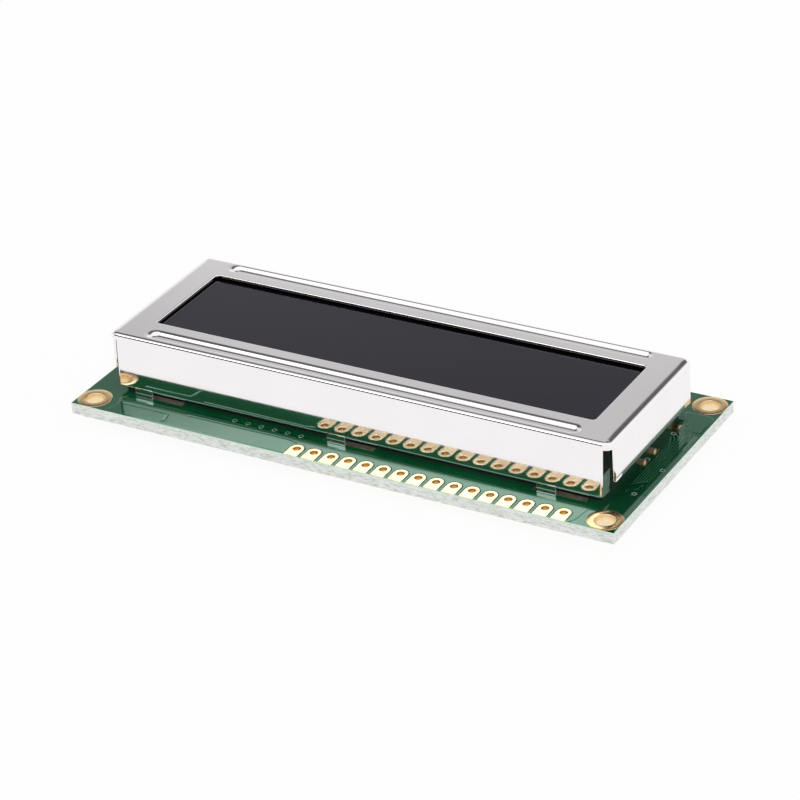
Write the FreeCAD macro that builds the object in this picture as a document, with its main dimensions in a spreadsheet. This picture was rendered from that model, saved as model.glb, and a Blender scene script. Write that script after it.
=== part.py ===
import FreeCAD, Part
import math
import os
import re
import Sketcher

# Character display module: a dark glass display cell held on a green board by a stamped metal bezel.
# Frame: X along the board, Y towards the edge with the pin holes, Z up out of the display's face.
# The origin is the centre of the four mounting holes, on the board's rear face. Lengths are millimetres.

SIZES = {
    # board
    "board_length": 79.5,
    "board_width": 35.6,
    "board_thick": 1.6,
    "hole_inset_long": 2.25,
    "hole_inset_wide": 2.3,
    "hole_dia": 2.6,
    "ring_dia": 4.7,
    "copper_thick": 0.05,
    "plating_thick": 0.05,
    # row of pin holes
    "pad_count": 16,
    "pad_pitch": 2.54,
    "pad_first": 7.65,
    "pad_edge": 1.8,
    "pad_width": 1.95,
    "pin_hole_dia": 1.0,
    # slots in the board and the bezel's tabs in them
    "slot_from_left": 7.05,
    "slot_from_right": 7.4,
    "slot_middle": 0.4,
    "slot_length": 7.4,
    "slot_width": 1.5,
    "slot_inset": 0.35,
    "tab_width": 2.7,
    "tab_play": 0.1,
    "tab_straight": 0.2,
    "tab_below": 1.6,
    "tab_twist": 35.0,
    # bezel, stamped from sheet
    "bezel_end_margin": 2.95,
    "bezel_side_margin": 5.7,
    "bezel_height": 8.55,
    "bezel_shift": 0.12,
    "sheet_gauge": 0.4,
    "roll_long": 0.5,
    "roll_short": 0.9,
    "plan_corner": 1.2,
    "corner_notch": 0.75,
    "long_wall_inset": 1.2,
    "long_wall_gap": 0.85,
    "long_wall_lean": 0.22,
    "wall_bend": 0.5,
    "flange_length": 2.2,
    "short_wall_inset": 1.15,
    "short_wall_gap": 2.8,
    "window_end_margin": 4.55,
    "window_side_margin": 4.55,
    "window_corner": 1.0,
    "window_shift": -0.37,
    "groove_end_margin": 5.05,
    "groove_side_margin": 1.78,
    "groove_width": 1.7,
    "groove_depth": 0.45,
    "groove_shift": -0.13,
    "groove_wall": 0.3,
    # display cell
    "glass_end_play": 0.25,
    "glass_side_play": 0.3,
    "glass_thick": 1.1,
    "rear_glass_clear": 0.55,
    "seal_width": 1.0,
    "seal_thick": 0.05,
    "polarizer_thick": 0.2,
    "front_polarizer_end": 0.35,
    "front_polarizer_side": 0.8,
    "front_polarizer_shift": 0.25,
    "rear_polarizer_play": 0.2,
    # frame under the cell, with the contact strips and the backlight in it
    "frame_end_play": 0.15,
    "frame_side_play": 0.2,
    "frame_corner": 0.4,
    "frame_end_wall": 2.05,
    "frame_rib": 1.45,
    "strip_end_wall": 1.45,
    "strip_inset": 1.3,
    "strip_width": 1.3,
    "strip_play": 0.1,
    "light_board_thick": 0.8,
    "film_thick": 0.3,
    "light_play": 0.1,
    "light_end_room": 3.2,
    "diode_length": 2.8,
    "diode_width": 1.8,
    "diode_height": 1.4,
    "diode_span": 8.0,
    # backlight leads and the small lands beside the frame
    "lead_pitch": 3.0,
    "lead_centre": -0.5,
    "lead_width": 0.7,
    "lead_thick": 0.3,
    "lead_play": 0.1,
    "side_land_length": 1.3,
    "side_land_width": 1.5,
    "test_land_inset": 2.8,
    # parts on the rear face
    "cover_dia_large": 14.0,
    "cover_dia_small": 12.0,
    "cover_height": 1.35,
    "cover_from_left": 23.75,
    "cover_from_right": 26.75,
    "cover_place_wide": -1.5,
    "chip_length": 2.0,
    "chip_width": 1.25,
    "resistor_height": 0.55,
    "capacitor_height": 0.95,
    "chip_cap_length": 0.4,
    "chip_cap_proud": 0.04,
    "resistor_count": 7,
    "resistor_pitch": 2.6,
    "resistor_from_left": 9.75,
    "resistor_inset": 2.1,
    "capacitor_pitch": 6.0,
    "capacitor_from_right": 15.75,
    "capacitor_inset": 6.1,
}

doc = FreeCAD.newDocument("display_module")
sheet = doc.addObject("Spreadsheet::Sheet", "Sizes")
for row, (alias, number) in enumerate(SIZES.items(), start=1):
    sheet.set("A%d" % row, alias)
    sheet.set("B%d" % row, str(number))
    sheet.setAlias("B%d" % row, alias)
doc.recompute()

# heights that several pieces share, worked out from the sheet
BOARD_TOP = "board_thick"
BEZEL_TOP = "(board_thick + bezel_height)"
BEZEL_UNDER = "(board_thick + bezel_height - sheet_gauge)"
GLASS_TOP = "(board_thick + bezel_height - sheet_gauge - groove_depth)"
CELL_GAP = "(board_thick + bezel_height - sheet_gauge - groove_depth - glass_thick)"
FRAME_TOP = "(board_thick + bezel_height - sheet_gauge - groove_depth - 2 * glass_thick - seal_thick)"

# lengths and widths, each taken from the piece that holds it and a named margin
HOLE_LONG = "(board_length / 2 - hole_inset_long)"
HOLE_WIDE = "(board_width / 2 - hole_inset_wide)"
BEZEL_LONG = "(board_length - 2 * bezel_end_margin)"
BEZEL_WIDE = "(board_width - 2 * bezel_side_margin)"
WALL_LONG = "(%s - 2 * long_wall_inset)" % BEZEL_LONG
SHORT_WIDE = "(%s - 2 * short_wall_inset)" % BEZEL_WIDE
FRAME_LONG = "(%s - 2 * sheet_gauge - 2 * frame_end_play)" % WALL_LONG
FRAME_WIDE = "(%s - 2 * sheet_gauge - 2 * frame_side_play)" % BEZEL_WIDE
WELL_LONG = "(%s - 2 * frame_end_wall)" % FRAME_LONG
STRIP_SIDE = "(%s / 2 - strip_inset)" % FRAME_WIDE
STRIP_ROOM = "(strip_width + 2 * strip_play)"
STRIP_LONG = "(%s - 2 * strip_end_wall - 2 * strip_play)" % FRAME_LONG
WELL_WIDE = "(2 * %s - %s - 2 * frame_rib)" % (STRIP_SIDE, STRIP_ROOM)
GLASS_LONG = "(%s - 2 * glass_end_play)" % FRAME_LONG
FRONT_WIDE = "(%s - 2 * glass_side_play)" % FRAME_WIDE
REAR_WIDE = "(2 * %s - strip_width - 2 * rear_glass_clear)" % STRIP_SIDE
WINDOW_LONG = "(%s - 2 * window_end_margin)" % BEZEL_LONG
WINDOW_WIDE = "(%s - 2 * window_side_margin)" % BEZEL_WIDE
GROOVE_LONG = "(%s - 2 * groove_end_margin)" % BEZEL_LONG
GROOVE_SIDE = "(%s / 2 - groove_side_margin)" % BEZEL_WIDE
HOLE_SPOTS = [("%d * %s" % (across, HOLE_LONG), "%d * %s" % (along, HOLE_WIDE))
              for along in (-1, 1) for across in (-1, 1)]
MORE = 1.0

nodes = []


def sized(text):
    """Point each size word in an expression at the sheet."""
    return re.sub(r"[a-z][a-z_]+", lambda word: "Sizes." + word.group(0)
                  if word.group(0) in SIZES else word.group(0), str(text))


def size(alias):
    """The number that the sheet holds."""
    return float(sheet.get(alias))


def bind(item, **texts):
    """Bind properties of an object to expressions of the sheet's sizes."""
    for name, text in texts.items():
        item.setExpression(name, sized(text))
    return item


def place(item, across=0, along=0, up=0, prefix="Placement"):
    """Bind an object's position."""
    for axis, text in (("x", across), ("y", along), ("z", up)):
        item.setExpression("%s.Base.%s" % (prefix, axis), sized(text))
    return item


def box(name, length, width, height, across=0, along=0, up=0):
    """A box whose place is the centre of its base."""
    item = bind(doc.addObject("Part::Box", name), Length=length, Width=width, Height=height)
    return place(item, "%s - (%s) / 2" % (across, length), "%s - (%s) / 2" % (along, width), up)


def cylinder(name, radius, height, across=0, along=0, up=0):
    item = bind(doc.addObject("Part::Cylinder", name), Radius=radius, Height=height)
    return place(item, across, along, up)


def fuse(name, shapes):
    item = doc.addObject("Part::MultiFuse", name)
    item.Shapes = shapes
    item.Refine = True
    return item


def cut(name, base, tools):
    item = doc.addObject("Part::Cut", name)
    item.Base = base
    item.Tool = tools[0] if len(tools) == 1 else fuse(name + "_tools", tools)
    item.Refine = True
    return item


def upright_round(name, base, radius):
    """Round the four upright edges of a box."""
    doc.recompute()
    item = doc.addObject("Part::Fillet", name)
    item.Base = base
    picked = []
    for number, edge in enumerate(base.Shape.Edges, start=1):
        ends = edge.Vertexes
        if abs(ends[0].X - ends[1].X) < 1e-6 and abs(ends[0].Y - ends[1].Y) < 1e-6:
            picked.append((number, radius, radius))
    item.Edges = picked
    return item


def node(item, label):
    """Give a finished piece the name of its file."""
    item.Label = label
    nodes.append(item)
    return item


def body_plane(body, role):
    return [part for part in body.Origin.OriginFeatures if part.Role == role][0]


def new_sketch(body, name, up=0):
    """A sketch on the body's own XY plane, at a height that the sheet gives."""
    item = body.newObject("Sketcher::SketchObject", name)
    item.AttachmentSupport = [(body_plane(body, "XY_Plane"), "")]
    item.MapMode = "FlatFace"
    item.setExpression("AttachmentOffset.Base.z", sized(up))
    return item


def sketch_rectangle(item, length, width, across=0, along=0):
    """Draw a rectangle and bind its four sides' distances from the sketch's origin."""
    corners = [FreeCAD.Vector(sx, sy, 0) for sx, sy in ((-1, -1), (1, -1), (1, 1), (-1, 1))]
    first = item.GeometryCount
    for turn in range(4):
        item.addGeometry(Part.LineSegment(corners[turn], corners[(turn + 1) % 4]), False)
    for turn in range(4):
        item.addConstraint(Sketcher.Constraint("Coincident", first + turn, 2, first + (turn + 1) % 4, 1))
    for turn in (0, 2):
        item.addConstraint(Sketcher.Constraint("Horizontal", first + turn))
        item.addConstraint(Sketcher.Constraint("Vertical", first + turn + 1))
    sides = (
        ("DistanceX", 0, "%s - (%s) / 2" % (across, length)),
        ("DistanceX", 1, "%s + (%s) / 2" % (across, length)),
        ("DistanceY", 0, "%s - (%s) / 2" % (along, width)),
        ("DistanceY", 2, "%s + (%s) / 2" % (along, width)),
    )
    for kind, line, text in sides:
        rule = item.addConstraint(Sketcher.Constraint(kind, -1, 1, first + line, 1, 0.5))
        item.setExpression("Constraints[%d]" % rule, sized(text))
    return item


def pocket_through(body, profile, name):
    """Cut a sketch on the rear face up through the whole board."""
    item = body.newObject("PartDesign::Pocket", name)
    item.Profile = profile
    item.Type = "ThroughAll"
    item.Reversed = True
    profile.Visibility = False
    return item


SLOTS = ("(slot_from_left - %s / 2)" % BEZEL_LONG, "slot_middle", "(%s / 2 - slot_from_right)" % BEZEL_LONG)
TAB_PLANE = "(%s / 2 + long_wall_lean - sheet_gauge / 2)" % BEZEL_WIDE
PAD_ROW = "(board_width / 2 - pad_edge)"
PAD_START = "(pad_first - board_length / 2)"


def pin_place(number):
    return "(%s + pad_pitch * %d)" % (PAD_START, number)


def barrel(name, bore, sides, height, across, along, up):
    """The plated wall of a hole, many-sided outside, where it lies hidden in the board."""
    item = bind(doc.addObject("Part::Prism", name), Height=height,
                Circumradius="(%s / 2 + plating_thick) / %.6f" % (bore, math.cos(math.pi / sides)))
    item.Polygon = sides
    return place(item, across, along, up)


def circuit_board():
    """The board with its mounting holes, pin holes and the slots for the bezel's tabs."""
    body = doc.addObject("PartDesign::Body", "board_body")
    outline = sketch_rectangle(new_sketch(body, "board_outline"), "board_length", "board_width")
    slab = body.newObject("PartDesign::Pad", "board_slab")
    slab.Profile = outline
    bind(slab, Length="board_thick")
    for name, side in (("rear", -1), ("header", 1)):
        slots = new_sketch(body, name + "_slot_outlines")
        for across in SLOTS:
            sketch_rectangle(slots, "slot_length", "slot_width", across,
                             "bezel_shift + %d * (%s - slot_inset)" % (side, TAB_PLANE))
        pocket_through(body, slots, name + "_slots")
    holes = [barrel("pin_hole%02d" % number, "pin_hole_dia", 12, "board_thick + 2", pin_place(number),
                    PAD_ROW, -MORE) for number in range(int(size("pad_count")))]
    holes += [barrel("mounting_hole%d" % number, "hole_dia", 24, "board_thick + 2", *spot, -MORE)
              for number, spot in enumerate(HOLE_SPOTS)]
    return node(cut("board", body, holes), "circuit_board")


def header_pads():
    """Plated pin holes, each with a land on both faces that runs out to the board's edge."""
    for number in range(int(size("pad_count"))):
        name = "pad%02d" % (number + 1)
        across = pin_place(number)
        pieces = [barrel(name + "_barrel", "pin_hole_dia", 12, "board_thick + 2 * copper_thick", across,
                         PAD_ROW, "-copper_thick")]
        for face, up in (("top", BOARD_TOP), ("rear", "-copper_thick")):
            pieces.append(box("%s_%s_land" % (name, face), "pad_width", "pad_edge", "copper_thick",
                              across, "(board_width - pad_edge) / 2", up))
            end = bind(doc.addObject("Part::Prism", "%s_%s_end" % (name, face)),
                       Circumradius="pad_width / 2", Height="copper_thick")
            end.Polygon = 12
            pieces.append(place(end, across, PAD_ROW, up))
        bore = cylinder(name + "_bore", "pin_hole_dia / 2", "board_thick + 2", across, PAD_ROW, -MORE)
        node(cut(name, fuse(name + "_copper", pieces), [bore]), "header_pad_%02d" % (number + 1))


def mounting_rings():
    """Plated mounting holes with a round land on both faces, clipped where the board ends."""
    for number, spot in enumerate(HOLE_SPOTS, start=1):
        name = "ring%d" % number
        pieces = [barrel(name + "_barrel", "hole_dia", 24, "board_thick + 2 * copper_thick", *spot,
                         "-copper_thick")]
        for face, up in (("top", BOARD_TOP), ("rear", "-copper_thick")):
            land = bind(doc.addObject("Part::Prism", "%s_%s_land" % (name, face)),
                        Circumradius="ring_dia / 2", Height="copper_thick")
            land.Polygon = 36
            pieces.append(place(land, *spot, up))
        bore = cylinder(name + "_bore", "hole_dia / 2", "board_thick + 2", *spot, -MORE)
        ring = cut(name + "_whole", fuse(name + "_copper", pieces), [bore])
        clip = doc.addObject("Part::Common", name)
        clip.Base = ring
        clip.Tool = box(name + "_clip", "board_length", "board_width", "board_thick + 2", 0, 0, -MORE)
        node(clip, "mounting_ring_%d" % number)


def rolled_block(name, length, width, height, corner, roll_long, roll_short):
    """A block with rounded upright corners and its top edges rolled, tighter along the long sides."""
    block = box(name + "_box", length, width, height, 0, "bezel_shift", "%s - (%s)" % (BEZEL_TOP, height))
    doc.recompute()
    top = max(vertex.Z for vertex in block.Shape.Vertexes)
    picked = []
    for number, edge in enumerate(block.Shape.Edges, start=1):
        start, end = edge.Vertexes
        if abs(start.Z - end.Z) > 1e-6:
            picked.append((number, corner, corner))
        elif start.Z > top - 1e-6:
            radius = roll_long if abs(start.X - end.X) > 1e-6 else roll_short
            picked.append((number, radius, radius))
    item = doc.addObject("Part::Fillet", name)
    item.Base = block
    item.Edges = picked
    return item


def bezel_rim():
    """The bezel's face with its rolled edges, drawn down a little all round."""
    outer = rolled_block("rim_outer", BEZEL_LONG, BEZEL_WIDE, "roll_short + sheet_gauge",
                         size("plan_corner"), size("roll_long"), size("roll_short"))
    hollow = box("rim_hollow_box", "%s - 2 * sheet_gauge" % BEZEL_LONG, "%s - 2 * sheet_gauge" % BEZEL_WIDE,
                 "roll_short + sheet_gauge", 0, "bezel_shift",
                 "%s - roll_short - 2 * sheet_gauge" % BEZEL_TOP)
    return cut("rim", outer, [upright_round("rim_hollow", hollow, size("plan_corner") - size("sheet_gauge"))])


def long_wall(side):
    """A long wall that leans out towards its foot, with a flange bent round each end."""
    body = doc.addObject("PartDesign::Body", "long_wall_%s" % ("rear" if side < 0 else "header"))
    sections = []
    for name, up, lean in (("top", "%s - roll_long" % BEZEL_TOP, 0.0),
                           ("foot", "board_thick + long_wall_gap", size("long_wall_lean"))):
        item = new_sketch(body, body.Name + "_" + name, up)
        wall_outline(item, side, lean)
        sections.append(item)
    loft = body.newObject("PartDesign::AdditiveLoft", body.Name + "_loft")
    loft.Profile = sections[0]
    loft.Sections = [sections[1]]
    loft.Ruled = True
    return body


def wall_outline(item, side, lean):
    """Plan section of a long wall: a straight run, a bend at each end and a short flange."""
    rim = doc.getObject("rim_outer_box")
    end = rim.Length.Value / 2 - size("long_wall_inset")
    gauge = size("sheet_gauge")
    bend = size("wall_bend")
    outer = size("bezel_shift") + side * (rim.Width.Value / 2 + lean)
    tail = outer - side * size("flange_length")
    inner = outer - side * gauge
    root = outer - side * bend
    slant = math.sqrt(0.5)
    middle_out = end - bend + bend * slant
    middle_in = end - bend + (bend - gauge) * slant
    high_out = root + side * bend * slant
    high_in = root + side * (bend - gauge) * slant

    def spot(across, along):
        return FreeCAD.Vector(across, along, 0)

    geometry = [
        Part.LineSegment(spot(-(end - bend), outer), spot(end - bend, outer)),
        Part.Arc(spot(end - bend, outer), spot(middle_out, high_out), spot(end, root)),
        Part.LineSegment(spot(end, root), spot(end, tail)),
        Part.LineSegment(spot(end, tail), spot(end - gauge, tail)),
        Part.LineSegment(spot(end - gauge, tail), spot(end - gauge, root)),
        Part.Arc(spot(end - gauge, root), spot(middle_in, high_in), spot(end - bend, inner)),
        Part.LineSegment(spot(end - bend, inner), spot(-(end - bend), inner)),
        Part.Arc(spot(-(end - bend), inner), spot(-middle_in, high_in), spot(-(end - gauge), root)),
        Part.LineSegment(spot(-(end - gauge), root), spot(-(end - gauge), tail)),
        Part.LineSegment(spot(-(end - gauge), tail), spot(-end, tail)),
        Part.LineSegment(spot(-end, tail), spot(-end, root)),
        Part.Arc(spot(-end, root), spot(-middle_out, high_out), spot(-(end - bend), outer)),
    ]
    item.addGeometry(geometry, False)


def short_wall(side):
    """A short wall outside the flanges, ending well above the board."""
    height = "%s - roll_short - board_thick - short_wall_gap + sheet_gauge" % BEZEL_TOP
    return box("short_wall_%s" % ("left" if side < 0 else "right"), "sheet_gauge", SHORT_WIDE,
               height, "%d * (%s - sheet_gauge) / 2" % (side, BEZEL_LONG), "bezel_shift",
               "board_thick + short_wall_gap")


def round_ended(name, width, height, up, side):
    """A long block with half-round ends, along one of the bezel's grooves."""
    reach = "(%s - groove_width) / 2" % GROOVE_LONG
    along = "bezel_shift + groove_shift + %d * %s" % (side, GROOVE_SIDE)
    pieces = [box(name + "_run", "2 * %s" % reach, width, height, 0, along, up)]
    for end in (-1, 1):
        pieces.append(cylinder("%s_end%d" % (name, end + 1), "(%s) / 2" % width, height,
                               "%d * %s" % (end, reach), along, up))
    return fuse(name, pieces)


def tab(side, number):
    """A tab that goes down through its slot and is twisted below the board to hold the bezel."""
    name = "tab_%s_%d" % ("rear" if side < 0 else "header", number + 1)
    across = "(%s + slot_length / 2 - tab_play - tab_width / 2)" % SLOTS[number]
    along = "(bezel_shift + %d * %s)" % (side, TAB_PLANE)
    body = doc.addObject("PartDesign::Body", name)
    levels = (
        ("neck", "board_thick + long_wall_gap + sheet_gauge / 2", 0.0),
        ("board", "-tab_straight", 0.0),
        ("foot", "-tab_below", 1.0),
    )
    sections = []
    for level, up, share in levels:
        item = sketch_rectangle(new_sketch(body, "%s_%s" % (name, level), up), "tab_width", "sheet_gauge")
        item.setExpression("AttachmentOffset.Base.x", sized(across))
        item.setExpression("AttachmentOffset.Base.y", sized(along))
        turn = FreeCAD.Rotation(FreeCAD.Vector(0, 0, 1), share * size("tab_twist"))
        item.AttachmentOffset = FreeCAD.Placement(item.AttachmentOffset.Base, turn)
        sections.append(item)
    straight = body.newObject("PartDesign::AdditiveLoft", name + "_straight")
    straight.Profile = sections[0]
    straight.Sections = [sections[1]]
    straight.Ruled = True
    twisted = body.newObject("PartDesign::AdditiveLoft", name + "_twisted")
    twisted.Profile = sections[1]
    twisted.Sections = [sections[2]]
    twisted.Ruled = True
    return body


def bezel():
    """One stamped piece: face, rolled edges, four walls, flanges, two pressed grooves and the tabs."""
    pieces = [bezel_rim()]
    for side, name in ((-1, "rear"), (1, "header")):
        pieces += [long_wall(side), short_wall(side)]
        pieces.append(round_ended("groove_under_" + name, "groove_width + 2 * groove_wall",
                                  "groove_depth + sheet_gauge", GLASS_TOP, side))
        pieces += [tab(side, number) for number in range(len(SLOTS))]
    whole = fuse("bezel_formed", pieces)
    window_box = box("window_box", WINDOW_LONG, WINDOW_WIDE, "sheet_gauge + 2",
                     0, "bezel_shift + window_shift", "%s - 1" % BEZEL_UNDER)
    tools = [upright_round("window", window_box, size("window_corner"))]
    for side, name in ((-1, "rear"), (1, "header")):
        tools.append(round_ended("groove_" + name, "groove_width", "groove_depth + 1",
                                 "%s + sheet_gauge" % GLASS_TOP, side))
    for across in (-1, 1):
        for along in (-1, 1):
            tools.append(corner_opening(across, along))
    return node(cut("bezel_piece", whole, tools), "bezel")


def corner_opening(across, along):
    """The open corner between a flange and the short wall beside it, below the drawn rim."""
    name = "corner_%s_%s" % ("left" if across < 0 else "right", "rear" if along < 0 else "header")
    length = "(long_wall_inset + 1)"
    width = "(short_wall_inset + 1)"
    height = "(bezel_height - corner_notch)"
    return box(name, length, width, height,
               "%d * (%s / 2 + %s / 2)" % (across, WALL_LONG, length),
               "bezel_shift + %d * (%s / 2 + %s / 2)" % (along, SHORT_WIDE, width), BOARD_TOP)


def display_cell():
    """Two glasses joined by a seal, with a polarizer on each outer face."""
    seat = ("0", "bezel_shift")
    node(box("front_glass_box", GLASS_LONG, FRONT_WIDE, "glass_thick", *seat, CELL_GAP), "front_glass")
    node(box("rear_glass_box", GLASS_LONG, REAR_WIDE, "glass_thick", *seat, FRAME_TOP), "rear_glass")
    seal_up = "%s - seal_thick" % CELL_GAP
    rim = box("seal_rim", GLASS_LONG, REAR_WIDE, "seal_thick", *seat, seal_up)
    hollow = box("seal_hollow", "%s - 2 * seal_width" % GLASS_LONG, "%s - 2 * seal_width" % REAR_WIDE,
                 "seal_thick", *seat, seal_up)
    node(cut("seal", rim, [hollow]), "lcd_seal")
    node(box("front_polarizer_box", "%s - 2 * front_polarizer_end" % WINDOW_LONG,
             "%s - 2 * front_polarizer_side" % WINDOW_WIDE, "polarizer_thick",
             "0", "bezel_shift + window_shift + front_polarizer_shift", GLASS_TOP), "front_polarizer")
    node(box("rear_polarizer_box", "%s - 2 * rear_polarizer_play" % WELL_LONG,
             "%s - 2 * rear_polarizer_play" % WELL_WIDE, "polarizer_thick",
             *seat, "%s - polarizer_thick" % FRAME_TOP), "rear_polarizer")


def lead_place(number):
    return "(bezel_shift + lead_centre + lead_pitch * %s)" % (number - 0.5)


def display_frame():
    """The frame that carries the cell, with a well for the backlight and a slot for each strip."""
    height = "(%s - board_thick)" % FRAME_TOP
    seat = ("0", "bezel_shift")
    block = upright_round("frame_block", box("frame_box", FRAME_LONG, FRAME_WIDE, height,
                                             *seat, BOARD_TOP), size("frame_corner"))
    tools = [box("frame_well", WELL_LONG, WELL_WIDE, "%s + 2" % height, *seat, "board_thick - 1")]
    for name, side in (("rear", -1), ("header", 1)):
        along = "bezel_shift + %d * %s" % (side, STRIP_SIDE)
        tools.append(box("strip_slot_" + name, "%s + 2 * strip_play" % STRIP_LONG, STRIP_ROOM,
                         "%s + 2" % height, 0, along, "board_thick - 1"))
    for number in (0, 1):
        tools.append(box("lead_notch_%d" % number, "frame_end_wall + 2", "lead_width + 2 * lead_play",
                         "copper_thick + lead_thick + lead_play + 1",
                         "-(%s + %s) / 4" % (FRAME_LONG, WELL_LONG), lead_place(number), "board_thick - 1"))
    node(cut("frame", block, tools), "display_frame")


def contact_strips():
    """Rubber strips that join the board's contacts to the glass."""
    for number, side in ((1, 1), (2, -1)):
        node(box("strip_%d" % number, STRIP_LONG, "strip_width", "%s - board_thick" % CELL_GAP,
                 0, "bezel_shift + %d * %s" % (side, STRIP_SIDE), BOARD_TOP), "contact_strip_%d" % number)


def backlight():
    """Board, diodes, light guide and diffuser film in the frame's well, and two leads out to the lands."""
    seat = ("0", "bezel_shift")
    length = "(%s - 2 * light_play)" % WELL_LONG
    width = "(%s - 2 * light_play)" % WELL_WIDE
    lead_top = "(board_thick + copper_thick + lead_thick)"
    node(box("light_board_box", length, width, "light_board_thick", *seat, lead_top), "backlight_board")
    guide_up = "(%s + light_board_thick)" % lead_top
    film_up = "(%s - polarizer_thick - film_thick)" % FRAME_TOP
    node(box("guide_box", "%s - light_end_room" % length, width, "%s - %s" % (film_up, guide_up),
             "light_end_room / 2", "bezel_shift", guide_up), "light_guide")
    node(box("film_box", length, width, "film_thick", *seat, film_up), "diffuser_film")
    for number in (0, 1):
        node(box("diode_%d" % number, "diode_length", "diode_width", "diode_height",
                 "-%s / 2 + diode_length / 2" % length,
                 "bezel_shift + diode_span * %s" % (number - 0.5), guide_up),
             "backlight_diode_%d" % (number + 1))
        reach = "(%s / 2 + side_land_length * 0.75)" % FRAME_LONG
        start = "(%s / 2 - diode_length)" % length
        node(box("lead_%d" % number, "%s - %s" % (reach, start), "lead_width", "lead_thick",
                 "-(%s + %s) / 2" % (reach, start), lead_place(number), "board_thick + copper_thick"),
             "backlight_lead_%d" % (number + 1))
        side_land("backlight_land_%d" % (number + 1), lead_place(number))
    side_land("test_land", "(bezel_shift + test_land_inset - %s / 2)" % FRAME_WIDE)


def side_land(label, along):
    """A small copper land on the board beside the frame."""
    node(box(label + "_copper", "side_land_length", "side_land_width", "copper_thick",
             "-(%s + side_land_length) / 2" % FRAME_LONG, along, BOARD_TOP), label)


def chip_covers():
    """Domes of black resin over the two bare driver chips on the rear face, each in two low tiers."""
    tiers = ((1.0, 0.0, 0.78, 0.65), (0.78, 0.65, 0.35, 1.0))
    places = ((1, "cover_dia_large", "(cover_from_left - board_length / 2)"),
              (2, "cover_dia_small", "(board_length / 2 - cover_from_right)"))
    for number, dia, across in places:
        pieces = []
        for tier, (wide, start, narrow, end) in enumerate(tiers):
            item = doc.addObject("Part::Cone", "cover%d_tier%d" % (number, tier))
            bind(item, Radius1="%s / 2 * %s" % (dia, narrow), Radius2="%s / 2 * %s" % (dia, wide),
                 Height="cover_height * %s" % (end - start))
            pieces.append(place(item, across, "cover_place_wide", "-cover_height * %s" % end))
        node(fuse("cover%d" % number, pieces), "chip_cover_%d" % number)


def chip_part(label, height, across, along):
    """A small surface part on the rear face with a metal cap at each end."""
    name = label + "_"
    body = box(name + "body", "chip_length", "chip_width", height, across, along, "-(%s)" % height)
    caps = [box("%scap_%d" % (name, end), "chip_cap_length", "chip_width + 2 * chip_cap_proud",
                "%s + chip_cap_proud" % height,
                "%s + %d * (chip_length - chip_cap_length) / 2" % (across, end), along,
                "-(%s) - chip_cap_proud" % height) for end in (-1, 1)]
    node(fuse(name + "whole", [body] + caps), label)


def rear_parts():
    """Resistors in a row and two capacitors, as on the rear of such a board."""
    for number in range(int(size("resistor_count"))):
        chip_part("resistor_%d" % (number + 1), "resistor_height",
                  "(resistor_from_left - board_length / 2 + resistor_pitch * %d)" % number,
                  "(%s / 2 - resistor_inset)" % BEZEL_WIDE)
    for number in range(2):
        chip_part("capacitor_%d" % (number + 1), "capacitor_height",
                  "(board_length / 2 - capacitor_from_right + capacitor_pitch * %d)" % number,
                  "(%s / 2 - capacitor_inset)" % BEZEL_WIDE)


circuit_board()
header_pads()
mounting_rings()
bezel()
display_cell()
display_frame()
contact_strips()
backlight()
chip_covers()
rear_parts()
doc.recompute()

faults = [item.Name for item in doc.Objects if {"Invalid", "Error"} & set(item.State)]
if faults:
    raise RuntimeError("objects that failed: " + ", ".join(faults))
for item in nodes:
    shape = item.Shape
    if shape.isNull() or not shape.isValid() or not shape.Solids:
        raise RuntimeError("bad shape: " + item.Label)

os.makedirs("parts", exist_ok=True)
for item in nodes:
    item.Shape.exportStep("parts/%s.step" % item.Label)
    print("%-22s %2d solid %10.3f mm3" % (item.Label, len(item.Shape.Solids), item.Shape.Volume))
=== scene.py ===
import math

import bmesh
import bpy
from mathutils import Matrix, Vector, noise


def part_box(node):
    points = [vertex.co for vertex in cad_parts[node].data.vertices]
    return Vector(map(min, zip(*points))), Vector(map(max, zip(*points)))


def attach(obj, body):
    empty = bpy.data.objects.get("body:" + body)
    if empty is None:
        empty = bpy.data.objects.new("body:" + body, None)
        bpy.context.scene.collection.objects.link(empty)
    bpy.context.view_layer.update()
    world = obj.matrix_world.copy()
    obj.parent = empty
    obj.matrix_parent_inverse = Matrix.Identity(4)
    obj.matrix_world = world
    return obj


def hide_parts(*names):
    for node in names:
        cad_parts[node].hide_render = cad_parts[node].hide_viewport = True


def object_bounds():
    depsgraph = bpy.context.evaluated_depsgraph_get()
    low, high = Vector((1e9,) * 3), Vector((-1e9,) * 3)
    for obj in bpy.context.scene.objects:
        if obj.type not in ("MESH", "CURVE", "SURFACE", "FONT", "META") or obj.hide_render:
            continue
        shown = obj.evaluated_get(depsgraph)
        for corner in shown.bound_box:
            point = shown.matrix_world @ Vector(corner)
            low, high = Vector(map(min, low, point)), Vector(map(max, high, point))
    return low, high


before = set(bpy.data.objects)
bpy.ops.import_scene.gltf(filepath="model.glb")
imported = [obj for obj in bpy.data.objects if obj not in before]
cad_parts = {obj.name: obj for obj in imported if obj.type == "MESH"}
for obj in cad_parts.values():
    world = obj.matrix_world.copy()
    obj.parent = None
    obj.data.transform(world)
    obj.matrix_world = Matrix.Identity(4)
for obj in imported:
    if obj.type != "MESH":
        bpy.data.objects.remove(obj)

CAD_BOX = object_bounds()
MM = 0.001

# All lengths below are in millimetres and all angles in degrees.

# The camera
CAMERA_AZIMUTH = 210.89
CAMERA_ELEVATION = 29.15
CAMERA_ROLL = -3.44
CAMERA_TARGET = (1.57, -2.98, 0.0)
CAMERA_DISTANCE = 405.27
CAMERA_LENS = 138.08

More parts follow.
